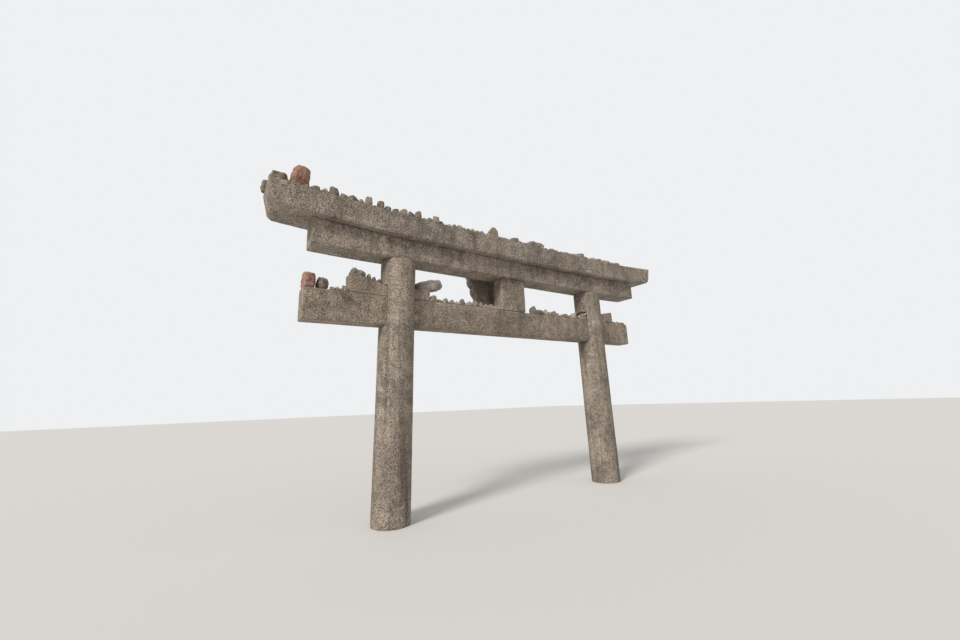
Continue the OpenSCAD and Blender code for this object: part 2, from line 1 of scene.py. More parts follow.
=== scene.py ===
"""Looks of a stone torii gate on a beach: weathered granite pillars, wedged tie beam, two curved
lintels with upturned ends, a bare scalloped tablet and the stones laid along the beams."""

import math

import bmesh
import bpy
import numpy as np
from bpy.props import FloatProperty, FloatVectorProperty, IntProperty, PointerProperty
from mathutils import Matrix, Vector, noise


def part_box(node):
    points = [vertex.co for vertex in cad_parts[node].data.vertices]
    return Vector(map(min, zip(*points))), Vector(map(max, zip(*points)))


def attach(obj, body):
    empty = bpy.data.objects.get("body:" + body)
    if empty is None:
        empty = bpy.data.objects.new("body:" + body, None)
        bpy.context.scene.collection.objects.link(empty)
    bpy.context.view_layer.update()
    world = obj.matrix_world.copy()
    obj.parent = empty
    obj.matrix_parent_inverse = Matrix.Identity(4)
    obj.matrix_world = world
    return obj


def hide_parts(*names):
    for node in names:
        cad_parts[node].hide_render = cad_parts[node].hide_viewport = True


bl_info = {
    "name": "Stone torii gate",
    "version": (1, 0, 0),
    "blender": (4, 5, 0),
    "location": "3D View > Sidebar > Torii",
    "description": "Dresses a stone torii gate with weathered granite and beach stones",
    "category": "Object",
}

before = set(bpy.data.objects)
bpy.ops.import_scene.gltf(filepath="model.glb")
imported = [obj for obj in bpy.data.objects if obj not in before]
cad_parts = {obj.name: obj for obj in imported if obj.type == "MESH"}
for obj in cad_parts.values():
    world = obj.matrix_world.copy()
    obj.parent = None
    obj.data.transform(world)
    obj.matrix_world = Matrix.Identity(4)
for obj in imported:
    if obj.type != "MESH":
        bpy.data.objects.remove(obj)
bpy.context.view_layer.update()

# Middle of the gate, halfway between the pillars
GATE_X = (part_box("left_pillar")[0].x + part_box("right_pillar")[1].x) / 2

# Noise on dressed stone: chips, nicks, broad hollows and tool marks, in cycles a metre
CHIP_SCALE = 7.0
NICK_SCALE = 24.0
HOLLOW_SCALE = 2.6
TOOLING_SCALE = 17.0

# Noise on a loose stone: facets, lumps and grit, in cycles over the stone's own size
FACETS = 2.6
LUMPS = 3.2
GRIT = 13.0

# Corners broken off a loose stone, how far up its foot stays whole, and how deep it is bedded
STONE_CUTS = 11
STONE_FOOT = 0.18
STONE_SEAT = 0.0008

# Edges sharper than this show as edges, on loose stones and on gravel
STONE_CREASE = math.radians(26)
GRAVEL_CREASE = math.radians(24)

# Strips of gravel: distance of their two sides behind the front edge of the stone they lie on,
# and how far the two on the top lintel start past a stone's end
TOP_STRIP = (0.026, 0.062)
TOP_COARSE_STRIP = (0.03, 0.07)
BEAM_STRIP = (0.022, 0.056)
TOP_START = 0.03
TOP_COARSE_START = 0.02

# Gravel heaped in the mouth of the right pillar's mortise: layers, how much each one is higher
# and further in, how far the heap reaches out of the mouth and into it, and its side margins
HEAP_LAYERS = 5
HEAP_RISE = 0.022
HEAP_STEP = 0.017
HEAP_OUT = 0.03
HEAP_IN = 0.1
HEAP_FRONT = 0.012
HEAP_BACK = 0.022

# Half width of the plain floor, and how far it lies under the pillars' feet
FLOOR_HALF = 60.0
FLOOR_DROP = 0.001

# Place of the soft key light, the height that it points at, and its spread
KEY_PLACE = (-6.0, -3.2, 6.5)
KEY_TARGET_Z = 1.5
KEY_SPREAD = math.radians(16)


# Settings

def length_setting(name, description, default, low, high):
    return FloatProperty(name=name, description=description, default=default, min=low, max=high,
                         unit="LENGTH")


def colour_setting(name, description, default):
    return FloatVectorProperty(name=name, description=description, default=default, min=0.0,
                               max=1.0, subtype="COLOR")


class StoneSettings(bpy.types.PropertyGroup):
    """Wear of the dressed stone and roughness of the loose stones"""

    pillar_grid: length_setting(
        "Pillar grid", "Spacing of the points on the pillars", 0.0105, 0.006, 0.03)
    beam_grid: length_setting(
        "Beam grid", "Spacing of the points on beams and lintels", 0.0105, 0.008, 0.03)
    small_grid: length_setting(
        "Fine grid", "Spacing of the points on wedges, strut and tablet", 0.007, 0.004, 0.02)
    edge_wear: length_setting(
        "Edge wear", "How far the worst chips are broken out of the edges", 0.009, 0.0, 0.04)
    hollow_depth: length_setting(
        "Hollows", "Depth of the shallow hollows left by dressing and weather", 0.004, 0.0, 0.01)
    tablet_seat: length_setting(
        "Tablet seat", "How far the tablet's panel runs into its border", 0.014, 0.0, 0.03)
    rock_rough: FloatProperty(
        name="Rock roughness", description="Depth of the facets on the loose stones, against their size",
        default=0.035, min=0.0, max=0.2)
    seed: IntProperty(
        name="Seed", description="Seed for wear, facets and gravel", default=11, min=1, max=999)


class ColourSettings(bpy.types.PropertyGroup):
    """Colours of the granite and of what grows and lies on it"""

    feldspar: colour_setting("Feldspar", "Pale grains of the granite", (0.41, 0.35, 0.29))
    quartz: colour_setting("Quartz", "Middle grains of the granite", (0.24, 0.2, 0.165))
    mica: colour_setting("Mica", "Dark grains of the granite", (0.075, 0.062, 0.052))
    grime: colour_setting("Grime", "Dark film where rain runs down", (0.06, 0.052, 0.045))
    lichen: colour_setting("Lichen", "Pale crust on weathered faces", (0.44, 0.44, 0.36))
    rust_lichen: colour_setting(
        "Ochre lichen", "Ochre crust that grows near the sea", (0.42, 0.24, 0.1))
    fresh: colour_setting("Worn edge", "Paler stone where an edge is chipped", (0.5, 0.44, 0.37))
    dust: colour_setting("Dust", "Sand and dust that lie on top", (0.5, 0.44, 0.35))


class GravelSettings(bpy.types.PropertyGroup):
    """Gravel between the stones of the rows"""

    density: FloatProperty(
        name="Gravel density", description="Bits of gravel on a square metre of the rows",
        default=3600.0, min=0.0, max=6000.0)
    smallest: length_setting(
        "Smallest bit", "Size of the smallest bit of gravel", 0.014, 0.002, 0.03)
    largest: length_setting(
        "Largest bit", "Size of the largest bit of gravel", 0.048, 0.004, 0.06)


class StageSettings(bpy.types.PropertyGroup):
    """Floor, backdrop, light and camera"""

    floor_colour: colour_setting("Floor", "Colour of the plain floor", (0.76, 0.75, 0.73))
    backdrop_colour: colour_setting("Backdrop", "Colour behind the gate", (0.86, 0.87, 0.88))
    sky_light: FloatProperty(
        name="Sky light", description="Even light from all sides", default=0.5, min=0.0, max=3.0)
    key_light: FloatProperty(
        name="Key light", description="Soft light from the left", default=2.5, min=0.0, max=10.0)
    camera_place: FloatVectorProperty(
        name="Camera", description="Place of the camera", subtype="TRANSLATION", unit="LENGTH",
        default=(-1.5422, -3.9537, 1.1026))
    camera_yaw: FloatProperty(
        name="Yaw", description="Turn of the camera from +Y to +X", subtype="ANGLE",
        default=0.591114)
    camera_pitch: FloatProperty(
        name="Pitch", description="How far the camera looks up", subtype="ANGLE",
        default=0.204347)
    camera_roll: FloatProperty(
        name="Roll", description="Lean of the camera about its own axis", subtype="ANGLE",
        default=-0.036373)
    lens: FloatProperty(
        name="Lens", description="Focal length on a 36 mm frame", default=15.0785, min=8.0, max=60.0)


SETTINGS = (
    ("torii_stone", StoneSettings),
    ("torii_colour", ColourSettings),
    ("torii_gravel", GravelSettings),
    ("torii_stage", StageSettings),
)


# Node groups shared by the materials

def shader_group(name, inputs, outputs):
    """An empty shader node group with named sockets; returns the group and its two end nodes."""
    group = bpy.data.node_groups.new(name, "ShaderNodeTree")
    for label, kind, value in inputs:
        socket = group.interface.new_socket(label, in_out="INPUT", socket_type=kind)
        socket.default_value = value
    for label, kind in outputs:
        group.interface.new_socket(label, in_out="OUTPUT", socket_type=kind)
    start = group.nodes.new("NodeGroupInput")
    end = group.nodes.new("NodeGroupOutput")
    return group, start, end


class Wiring:
    """Short ways to add and join nodes in one tree."""

    def __init__(self, tree):
        self.tree = tree

    def add(self, kind, **settings):
        node = self.tree.nodes.new(kind)
        for key, value in settings.items():
            setattr(node, key, value)
        return node

    def join(self, source, target):
        self.tree.links.new(source, target)

    def put(self, value, target):
        """Joins a socket to an input, or sets the input to a plain value."""
        if isinstance(value, bpy.types.NodeSocket):
            self.join(value, target)
        else:
            target.default_value = value

    def feed(self, node, **values):
        """Sets or joins inputs by name; underscores stand for spaces."""
        for key, value in values.items():
            self.put(value, node.inputs[key.replace("_", " ")])
        return node

    def math(self, operation, a, b=0.0, clamp=False):
        node = self.add("ShaderNodeMath", operation=operation, use_clamp=clamp)
        self.put(a, node.inputs[0])
        self.put(b, node.inputs[1])
        return node.outputs[0]

    def span(self, value, low, high, to_low=0.0, to_high=1.0):
        """Maps a value from one range to another, smoothly and clamped."""
        node = self.add("ShaderNodeMapRange", interpolation_type="SMOOTHSTEP")
        self.feed(node, Value=value, From_Min=low, From_Max=high, To_Min=to_low, To_Max=to_high)
        return node.outputs["Result"]

    def blend(self, share, a, b, mode="MIX"):
        """Colour a with a share of colour b; a Mix node keeps its colours in sockets 6 and 7."""
        node = self.add("ShaderNodeMix", data_type="RGBA", blend_type=mode)
        self.put(share, node.inputs[0])
        self.put(a, node.inputs[6])
        self.put(b, node.inputs[7])
        return node.outputs[2]

    def noise(self, scale, detail=4.0, rough=0.55, vector=None, distortion=0.0):
        node = self.add("ShaderNodeTexNoise")
        self.feed(node, Scale=scale, Detail=detail, Roughness=rough, Distortion=distortion)
        if vector is not None:
            self.join(vector, node.inputs["Vector"])
        return node.outputs["Fac"]


def grain_group():
    """Crystals of granite: pale, middle and dark grains with a coarse mottle."""
    group, start, end = shader_group("Granite grain", [
        ("Grain", "NodeSocketFloat", 0.006),
        ("Pale", "NodeSocketColor", (0.46, 0.41, 0.35, 1)),
        ("Middle", "NodeSocketColor", (0.27, 0.24, 0.2, 1)),
        ("Dark", "NodeSocketColor", (0.07, 0.06, 0.05, 1)),
        ("Mottle", "NodeSocketFloat", 0.5),
    ], [("Color", "NodeSocketColor"), ("Height", "NodeSocketFloat")])
    w = Wiring(group)
    place = w.add("ShaderNodeTexCoord").outputs["Object"]
    per_metre = w.math("DIVIDE", 1.0, start.outputs["Grain"])
    cells = w.add("ShaderNodeTexVoronoi", feature="F1")
    w.feed(cells, Vector=place, Scale=per_metre, Randomness=1.0)
    pick = w.add("ShaderNodeSeparateColor")
    w.join(cells.outputs["Color"], pick.inputs[0])
    pale_share = w.span(pick.outputs[0], 0.42, 0.58)
    base = w.blend(pale_share, start.outputs["Middle"], start.outputs["Pale"])
    dark_share = w.span(pick.outputs[1], 0.78, 0.86)
    grains = w.blend(dark_share, base, start.outputs["Dark"])
    broad = w.noise(2.3, 6.0, 0.62, place, 0.4)
    mid = w.noise(11.0, 5.0, 0.6, place)
    tone = w.math("ADD", w.math("MULTIPLY", broad, 0.6), w.math("MULTIPLY", mid, 0.4))
    shade = w.span(tone, 0.36, 0.64, 0.55, 1.35)
    shade_colour = w.add("ShaderNodeCombineColor")
    for socket in shade_colour.inputs[:3]:
        w.join(shade, socket)
    mottled = w.blend(start.outputs["Mottle"], grains, shade_colour.outputs[0], "MULTIPLY")
    w.join(mottled, end.inputs["Color"])
    fine = w.noise(per_metre, 3.0, 0.6, place)
    pits = w.span(w.noise(w.math("MULTIPLY", per_metre, 0.35), 4.0, 0.6, place), 0.3, 0.62)
    height = w.math("ADD", w.math("MULTIPLY", fine, 0.4), w.math("MULTIPLY", pits, 0.6))
    w.join(height, end.inputs["Height"])
    return group


def weather_group():
    """Masks of weather: rain streaks, two lichens, patches of grime and dust that lies on top."""
    group, start, end = shader_group("Sea weather", [
        ("Streaks", "NodeSocketFloat", 0.5),
        ("Lichen", "NodeSocketFloat", 0.5),
        ("Patch", "NodeSocketFloat", 0.09),
    ], [
        ("Streak", "NodeSocketFloat"), ("Pale lichen", "NodeSocketFloat"),
        ("Ochre lichen", "NodeSocketFloat"), ("Grime", "NodeSocketFloat"),
        ("Dust", "NodeSocketFloat"),
    ])
    w = Wiring(group)
    place = w.add("ShaderNodeTexCoord").outputs["Object"]
    facing = w.add("ShaderNodeNewGeometry").outputs["Normal"]
    up = w.add("ShaderNodeSeparateXYZ")
    w.join(facing, up.inputs[0])
    side = w.span(w.math("ABSOLUTE", up.outputs["Z"]), 0.35, 0.8, 1.0, 0.0)
    tall = w.add("ShaderNodeMapping")
    w.feed(tall, Vector=place, Scale=(15.0, 15.0, 0.9))
    runs = w.noise(1.0, 4.0, 0.55, tall.outputs[0], 0.3)
    streak = w.math("MULTIPLY", w.span(runs, 0.42, 0.78), side)
    w.join(w.math("MULTIPLY", streak, start.outputs["Streaks"]), end.inputs["Streak"])
    per_patch = w.math("DIVIDE", 1.0, start.outputs["Patch"])
    where = w.noise(1.7, 3.0, 0.5, place)
    ragged = w.noise(per_patch, 9.0, 0.74, place, 0.6)
    crust = w.math("MULTIPLY", w.span(ragged, 0.56, 0.62), w.span(where, 0.44, 0.6))
    w.join(w.math("MULTIPLY", crust, start.outputs["Lichen"]), end.inputs["Pale lichen"])
    moved = w.add("ShaderNodeMapping")
    w.feed(moved, Vector=place, Location=(7.3, 2.1, 4.4))
    ragged_two = w.noise(w.math("MULTIPLY", per_patch, 1.4), 9.0, 0.76, moved.outputs[0], 0.5)
    where_two = w.noise(1.3, 3.0, 0.5, moved.outputs[0])
    crust_two = w.math("MULTIPLY", w.span(ragged_two, 0.6, 0.66), w.span(where_two, 0.48, 0.62))
    w.join(w.math("MULTIPLY", crust_two, start.outputs["Lichen"]), end.inputs["Ochre lichen"])
    w.join(w.span(w.noise(5.0, 8.0, 0.7, place, 0.2), 0.5, 0.74), end.inputs["Grime"])
    sand = w.noise(38.0, 6.0, 0.7, place)
    lying = w.math("MULTIPLY", w.span(up.outputs["Z"], 0.55, 0.95), w.span(sand, 0.44, 0.62))
    w.join(lying, end.inputs["Dust"])
    return group


def wear_group():
    """Mask of the edges that are chipped and rubbed, from the mesh's own wear values."""
    group, start, end = shader_group("Chipped edge", [
        ("Amount", "NodeSocketFloat", 1.0),
        ("Breakup", "NodeSocketFloat", 60.0),
    ], [("Edge", "NodeSocketFloat")])
    w = Wiring(group)
    place = w.add("ShaderNodeTexCoord").outputs["Object"]
    worn = w.add("ShaderNodeAttribute", attribute_name="wear").outputs["Fac"]
    broken = w.span(w.noise(start.outputs["Breakup"], 6.0, 0.7, place), 0.36, 0.62, 0.25, 1.0)
    edge = w.math("MULTIPLY", w.span(worn, 0.12, 0.75), broken)
    w.join(w.math("MULTIPLY", edge, start.outputs["Amount"], True), end.inputs["Edge"])
    return group


# Materials

def rgba(colour, share=1.0):
    """A colour made lighter or darker by a share, with full alpha."""
    return (colour[0] * share, colour[1] * share, colour[2] * share, 1.0)


def new_material(name):
    material = bpy.data.materials.new(name)
    material.use_nodes = True
    return material, Wiring(material.node_tree)


def group_node(w, name):
    """A node of one of the shared groups, which is made the first time that it is asked for."""
    maker = {"Granite grain": grain_group, "Sea weather": weather_group, "Chipped edge": wear_group}
    tree = bpy.data.node_groups.get(name) or maker[name]()
    return w.add("ShaderNodeGroup", node_tree=tree)


def finish_stone(w, colour, height, rough_low, rough_high, depth):
    """Joins colour, roughness and bump to the material's own Principled shader."""
    shader = w.tree.nodes["Principled BSDF"]
    w.join(colour, shader.inputs["Base Color"])
    w.join(w.span(height, 0.2, 0.8, rough_low, rough_high), shader.inputs["Roughness"])
    shader.inputs["Specular IOR Level"].default_value = 0.32
    bump = w.add("ShaderNodeBump")
    w.feed(bump, Strength=0.9, Distance=depth, Height=height)
    w.join(bump.outputs[0], shader.inputs["Normal"])


def granite(name, tint, grain, streaks, lichen, depth):
    """Weathered granite: grains, rain streaks, lichen, grime, dusted tops and chipped edges."""
    found = bpy.data.materials.get(name)
    if found:
        return found
    colours = bpy.context.scene.torii_colour
    material, w = new_material(name)

    def tinted(colour):
        return rgba([c * t for c, t in zip(colour, tint)])

    stone = group_node(w, "Granite grain")
    w.feed(stone, Grain=grain, Pale=tinted(colours.feldspar), Middle=tinted(colours.quartz),
           Dark=tinted(colours.mica), Mottle=0.75)
    weather = group_node(w, "Sea weather")
    w.feed(weather, Streaks=streaks, Lichen=lichen, Patch=0.11)
    worn = group_node(w, "Chipped edge")
    w.feed(worn, Amount=0.75, Breakup=55.0)
    colour = w.blend(w.math("MULTIPLY", weather.outputs["Grime"], 0.55), stone.outputs["Color"],
                     rgba(colours.grime))
    colour = w.blend(weather.outputs["Streak"], colour, rgba(colours.grime))
    colour = w.blend(w.math("MULTIPLY", worn.outputs["Edge"], 0.6), colour, rgba(colours.fresh))
    colour = w.blend(weather.outputs["Pale lichen"], colour, rgba(colours.lichen))
    colour = w.blend(weather.outputs["Ochre lichen"], colour, rgba(colours.rust_lichen))
    colour = w.blend(w.math("MULTIPLY", weather.outputs["Dust"], 0.45), colour, rgba(colours.dust))
    crusts = w.math("ADD", weather.outputs["Pale lichen"], weather.outputs["Ochre lichen"])
    height = w.math("ADD", stone.outputs["Height"], w.math("MULTIPLY", crusts, 0.35))
    finish_stone(w, colour, height, 0.78, 0.95, depth)
    return material


def beach_rock(name, dark, middle, pale, band=0.0):
    """Rough beach stone, each one in its own tone between three colours, with or without bands."""
    found = bpy.data.materials.get(name)
    if found:
        return found
    colours = bpy.context.scene.torii_colour
    material, w = new_material(name)
    place = w.add("ShaderNodeTexCoord").outputs["Object"]
    tone = w.add("ShaderNodeAttribute", attribute_name="tone").outputs["Fac"]
    body = w.blend(w.span(tone, 0.1, 0.5), rgba(dark), rgba(middle))
    body = w.blend(w.span(tone, 0.55, 0.9), body, rgba(pale))
    spots = group_node(w, "Granite grain")
    w.feed(spots, Grain=0.0045, Pale=(1.25, 1.22, 1.18, 1), Middle=(0.92, 0.9, 0.88, 1),
           Dark=(0.5, 0.48, 0.46, 1), Mottle=0.6)
    body = w.blend(0.8, body, spots.outputs["Color"], "MULTIPLY")
    if band:
        layers = w.add("ShaderNodeTexWave", wave_type="BANDS", bands_direction="Z")
        w.feed(layers, Vector=place, Scale=band, Distortion=9.0, Detail=3.0)
        body = w.blend(w.math("MULTIPLY", layers.outputs["Fac"], 0.3), body, rgba(dark, 0.6))
    weather = group_node(w, "Sea weather")
    w.feed(weather, Streaks=0.25, Lichen=0.5, Patch=0.045)
    worn = group_node(w, "Chipped edge")
    w.feed(worn, Amount=0.6, Breakup=90.0)
    body = w.blend(w.math("MULTIPLY", weather.outputs["Grime"], 0.5), body, rgba(colours.grime))
    body = w.blend(w.math("MULTIPLY", worn.outputs["Edge"], 0.5), body, rgba(colours.fresh))
    body = w.blend(weather.outputs["Pale lichen"], body, rgba(colours.lichen))
    body = w.blend(w.math("MULTIPLY", weather.outputs["Dust"], 0.35), body, rgba(colours.dust))
    finish_stone(w, body, spots.outputs["Height"], 0.7, 0.92, depth=0.0025)
    return material


def pillar_granite():
    return granite("Pillar granite", tint=(1.0, 0.98, 0.96), grain=0.006, streaks=0.6, lichen=0.7,
                   depth=0.004)


def beam_granite():
    return granite("Beam granite", tint=(1.02, 0.98, 0.94), grain=0.006, streaks=0.45, lichen=0.75,
                   depth=0.004)


def lintel_granite():
    return granite("Lintel granite", tint=(0.97, 0.96, 0.95), grain=0.0065, streaks=0.5, lichen=0.9,
                   depth=0.004)


def wedge_granite():
    return granite("Wedge granite", tint=(1.04, 0.98, 0.93), grain=0.005, streaks=0.35, lichen=0.5,
                   depth=0.004)


def tablet_granite():
    return granite("Tablet granite", tint=(1.08, 1.06, 1.04), grain=0.0045, streaks=0.6, lichen=0.6,
                   depth=0.0025)


def brown_rock():
    return beach_rock("Brown rock", dark=(0.17, 0.13, 0.1), middle=(0.26, 0.205, 0.16),
                      pale=(0.33, 0.275, 0.225), band=7.0)


def red_rock():
    return beach_rock("Red rock", dark=(0.25, 0.115, 0.085), middle=(0.32, 0.155, 0.11),
                      pale=(0.36, 0.21, 0.155), band=9.0)


def grey_rock():
    return beach_rock("Grey rock", dark=(0.18, 0.165, 0.15), middle=(0.25, 0.23, 0.21),
                      pale=(0.33, 0.305, 0.275), band=5.0)


def pebble_stone():
    return beach_rock("Pebble stone", dark=(0.15, 0.125, 0.105), middle=(0.235, 0.195, 0.16),
                      pale=(0.36, 0.31, 0.26))


# Meshes

def merged(node):
    """The CAD node's triangles as one closed mesh in bmesh, its own mesh left as it was."""
    shape = bmesh.new()
    shape.from_mesh(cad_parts[node].data)
    shape.transform(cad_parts[node].matrix_world)
    bmesh.ops.remove_doubles(shape, verts=shape.verts, dist=2e-5)
    for layer in list(shape.loops.layers.uv):
        shape.loops.layers.uv.remove(layer)
    return shape


def object_from(shape, name):
    """A new object with the mesh of a bmesh, which is used up."""
    mesh = bpy.data.meshes.new(name)
    shape.to_mesh(mesh)
    shape.free()
    made = bpy.data.objects.new(name, mesh)
    bpy.context.scene.collection.objects.link(made)
    return made


def baked(made, name):
    """Applies the modifiers of an object and gives the plain mesh to a new one."""
    graph = bpy.context.evaluated_depsgraph_get()
    mesh = bpy.data.meshes.new_from_object(made.evaluated_get(graph))
    old = made.data
    bpy.data.objects.remove(made)
    if old.users == 0:
        bpy.data.meshes.remove(old)
    mesh.name = name
    done = bpy.data.objects.new(name, mesh)
    bpy.context.scene.collection.objects.link(done)
    return done


def gridded(shape, grid, name):
    """A closed even grid over the shape."""
    made = object_from(shape, name + "_rough")
    remesh = made.modifiers.new("Grid", "REMESH")
    remesh.mode = "VOXEL"
    remesh.voxel_size = grid
    return baked(made, name)


def arrays(mesh):
    """The points of a mesh, and the two end points of each of its edges."""
    points = np.empty(len(mesh.vertices) * 3, np.float32)
    mesh.vertices.foreach_get("co", points)
    ends = np.empty(len(mesh.edges) * 2, np.int32)
    mesh.edges.foreach_get("vertices", ends)
    return points.reshape(-1, 3).astype(float), ends.reshape(-1, 2)


def set_points(mesh, points):
    mesh.vertices.foreach_set("co", points.astype(np.float32).ravel())
    mesh.update()


def normals_of(mesh):
    out = np.empty(len(mesh.vertices) * 3, np.float32)
    mesh.vertices.foreach_get("normal", out)
    return out.reshape(-1, 3).astype(float)


def relaxed(points, ends, rounds):
    """Each point drawn towards its neighbours, a given number of times."""
    count = np.zeros(len(points))
    np.add.at(count, ends[:, 0], 1)
    np.add.at(count, ends[:, 1], 1)
    count = np.maximum(count, 1)[:, None]
    for _ in range(rounds):
        total = np.stack([
            np.bincount(ends[:, 0], points[ends[:, 1], k], len(points))
            + np.bincount(ends[:, 1], points[ends[:, 0], k], len(points))
            for k in range(3)], 1)
        points = 0.4 * points + 0.6 * total / count
    return points


def lumps(points, scale, octaves, offset):
    """Fractal noise from -1 to 1 at each point."""
    shift = Vector((offset * 1.7, offset * 0.9, offset * 2.3))
    return np.array([
        noise.fractal(Vector(p) * scale + shift, 0.9, 2.0, octaves) for p in points])


def facets(points, scale, offset):
    """Distance to the nearest cell centre, which breaks a surface into blunt facets."""
    shift = Vector((offset * 2.1, offset * 1.3, offset * 0.7))
    return np.array([noise.voronoi(Vector(p) * scale + shift)[0][0] for p in points])


def broken(points, low, high, deepest, pick):
    """A stone's points with its corners broken off along random planes, mostly from above."""
    middle = (low + high) / 2
    half = (high - low) / 2
    unit = (points - middle) / half
    for _ in range(STONE_CUTS):
        way = pick.normal(size=3) * np.array((1.0, 1.0, 0.8))
        way[2] = abs(way[2]) if way[2] < -0.3 else way[2]
        way /= np.linalg.norm(way)
        reach = unit @ way
        limit = reach.max() * (1.0 - deepest * pick.uniform(0.25, 1.0))
        unit -= np.maximum(reach - limit, 0.0)[:, None] * way
    return middle + unit * half


def give_value(mesh, name, values):
    """Stores one value a point, which the materials read by name."""
    layer = mesh.attributes.get(name) or mesh.attributes.new(name, "FLOAT", "POINT")
    layer.data.foreach_set("value", values.astype(np.float32))


def smooth(mesh):
    mesh.polygons.foreach_set("use_smooth", [True] * len(mesh.polygons))
    mesh.update()


def weathered(node, grid, wear, hollow, rounds, seed):
    """Dressed stone from a CAD node: rounded and chipped edges, shallow hollows, never outside it."""
    low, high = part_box(node)
    made = gridded(merged(node), grid, node + "_stone")
    mesh = made.data
    points, ends = arrays(mesh)
    normals = normals_of(mesh)
    soft = relaxed(points, ends, rounds)
    pull = soft - points
    sunk = -np.einsum("ij,ij->i", pull, normals)
    edge = np.clip(sunk / (grid * 0.55), 0.0, 1.0)
    bitten = np.clip(lumps(points, CHIP_SCALE, 4, seed) * 1.3 + 0.1, 0.0, 1.0)
    nicked = np.clip(lumps(points, NICK_SCALE, 3, seed + 5) * 1.6 - 0.15, 0.0, 1.0)
    broad = relaxed(edge[:, None] * np.ones(3), ends, 3)[:, 0]
    chip = wear * (0.8 * bitten ** 1.5 + 0.5 * nicked) * np.clip(broad * 1.6, 0.0, 1.0)
    level = 0.5 + 0.5 * np.clip(lumps(points, HOLLOW_SCALE, 3, seed + 9) * 1.4, -1.0, 1.0)
    tooled = 0.5 + 0.5 * np.clip(lumps(points, TOOLING_SCALE, 4, seed + 3), -1.0, 1.0)
    upright = 1.0 - 0.9 * np.clip(np.abs(normals[:, 2]) * 1.5 - 0.4, 0.0, 1.0)
    dip = hollow * (0.55 * level + 0.45 * tooled) * upright
    moved = points + pull * 0.75 - normals * (chip + dip)[:, None]
    set_points(mesh, np.clip(moved, np.array(low), np.array(high)))
    give_value(mesh, "wear", np.clip(edge * (0.45 + bitten + 0.5 * nicked), 0.0, 1.0))
    smooth(mesh)
    return made


def run_into_frame(piece, reach):
    """Runs the outer edge of a flat piece a little way into the frame around it."""
    mesh = piece.data
    points, _ = arrays(mesh)
    normals = normals_of(mesh)
    _, axes = np.linalg.eigh(normals.T @ normals)
    broad = axes[:, 2]
    outward = normals - np.outer(normals @ broad, broad)
    length = np.linalg.norm(outward, axis=1)
    edge = length > 0.3
    points[edge] += reach * outward[edge] / length[edge, None]
    set_points(mesh, points)


def island_numbers(shape):
    """Marks each vertex with the number of the separate stone that it belongs to."""
    layer = shape.verts.layers.float.new("stone")
    seen = set()
    count = 0
    for first in shape.verts:
        if first in seen:
            continue
        count += 1
        waiting = [first]
        seen.add(first)
        while waiting:
            vertex = waiting.pop()
            vertex[layer] = count
            for edge in vertex.link_edges:
                other = edge.other_vert(vertex)
                if other not in seen:
                    seen.add(other)
                    waiting.append(other)
    return count


def crowned(points, low, high, slant, pick):
    """A stone's points with its top sloped one way and its sides drawn in or out a little."""
    unit = (points - low) / (high - low)
    slope = pick.uniform(-slant, slant, 2)
    draw = pick.uniform(-0.8, 0.8, 2) * slant
    fall = (unit[:, :2] * 2.0 - 1.0) @ slope
    out = points.copy()
    out[:, 2] = low[2] + (high[2] - low[2]) * unit[:, 2] * (1.0 + fall)
    middle = (low[:2] + high[:2]) / 2
    out[:, :2] = middle + (points[:, :2] - middle) * (1.0 - unit[:, 2:3] * draw)
    return out


def leaned(points, low, high, lean):
    """A stone's points with its upper part moved along X, by a share of the stone's length."""
    out = points.copy()
    rise = np.clip((points[:, 2] - low[2]) / (high[2] - low[2]), 0.0, 1.0)
    out[:, 0] += lean * (high[0] - low[0]) * rise
    return out


def natural_stones(node, levels, rough, deepest, seed, slant=0.0, lean=0.0):
    """Loose stones from a CAD node: subdivided, broken into facets, each still in its own box."""
    shape = merged(node)
    count = island_numbers(shape)
    made = object_from(shape, node + "_rough")
    rest, _ = arrays(made.data)
    stone = np.empty(len(rest), np.float32)
    made.data.attributes["stone"].data.foreach_get("value", stone)
    boxes = {k: (rest[stone.round() == k].min(0), rest[stone.round() == k].max(0))
             for k in range(1, count + 1)}
    finer = made.modifiers.new("Finer", "SUBSURF")
    finer.subdivision_type = "SIMPLE"
    finer.levels = levels
    finer.render_levels = levels
    done = baked(made, node + "_stone")
    mesh = done.data
    points, ends = arrays(mesh)
    points = relaxed(points, ends, levels - 1)
    set_points(mesh, points)
    normals = normals_of(mesh)
    number = np.empty(len(points), np.float32)
    mesh.attributes["stone"].data.foreach_get("value", number)
    number = number.round().astype(int)
    tone = np.zeros(len(points))
    wear = np.zeros(len(points))
    pick = np.random.default_rng(seed + 17)
    for k in range(1, count + 1):
        mine = number == k
        low, high = boxes[k]
        size = float(np.mean(high - low))
        here = points[mine]
        cell = facets(here, FACETS / size, seed + k)
        lump = lumps(here, LUMPS / size, 4, seed + k + 30)
        grit = lumps(here, GRIT / size, 3, seed + k + 60)
        push = size * rough * (0.9 * (cell - 0.45) + 0.9 * lump + 0.5 * grit)
        foot = np.clip((here[:, 2] - low[2]) / (STONE_FOOT * size), 0.0, 1.0)
        here = crowned(here, low, high, slant, pick) if slant else here
        here = leaned(here, low, high, lean) if lean else here
        here = broken(here, low, high, deepest, pick) + normals[mine] * (push * foot)[:, None]
        span_now = here.max(0) - here.min(0)
        scale = (high - low) / np.maximum(span_now, 1e-6)
        here = low + (here - here.min(0)) * scale
        here[:, 2] -= STONE_SEAT * (1.0 - foot)
        points[mine] = here
        tone[mine] = pick.random()
        wear[mine] = np.clip(0.5 + 1.2 * lump + 0.7 * (cell - 0.5), 0.0, 1.0) * foot
    set_points(mesh, points)
    give_value(mesh, "tone", tone)
    give_value(mesh, "wear", wear)
    mesh.attributes.remove(mesh.attributes["stone"])
    smooth(mesh)
    mesh.set_sharp_from_angle(angle=STONE_CREASE)
    return done


